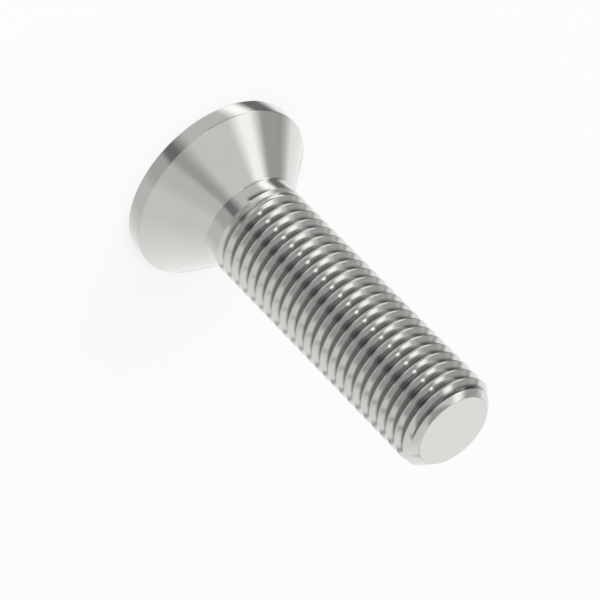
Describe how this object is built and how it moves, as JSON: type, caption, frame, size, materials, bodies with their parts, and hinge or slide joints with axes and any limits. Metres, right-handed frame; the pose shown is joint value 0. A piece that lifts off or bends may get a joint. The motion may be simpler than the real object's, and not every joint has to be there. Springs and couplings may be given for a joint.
{
  "type": "countersunk socket screw",
  "caption": "Countersunk screw with a hexagon socket, a short plain neck and a fine right-hand thread up to the head.",
  "frame": {"origin": "centre of the head's flat driving face, on the screw's axis", "axes": "+Z along the axis from the head to the point, so the screw stands on its head"},
  "size_m": [0.0076, 0.0076, 0.015],
  "materials": {
    "stainless_steel": "bright turned and rolled stainless steel"
  },
  "bodies": {
    "root": {"socket_screw": "stainless_steel"}
  },
  "joints": []
}
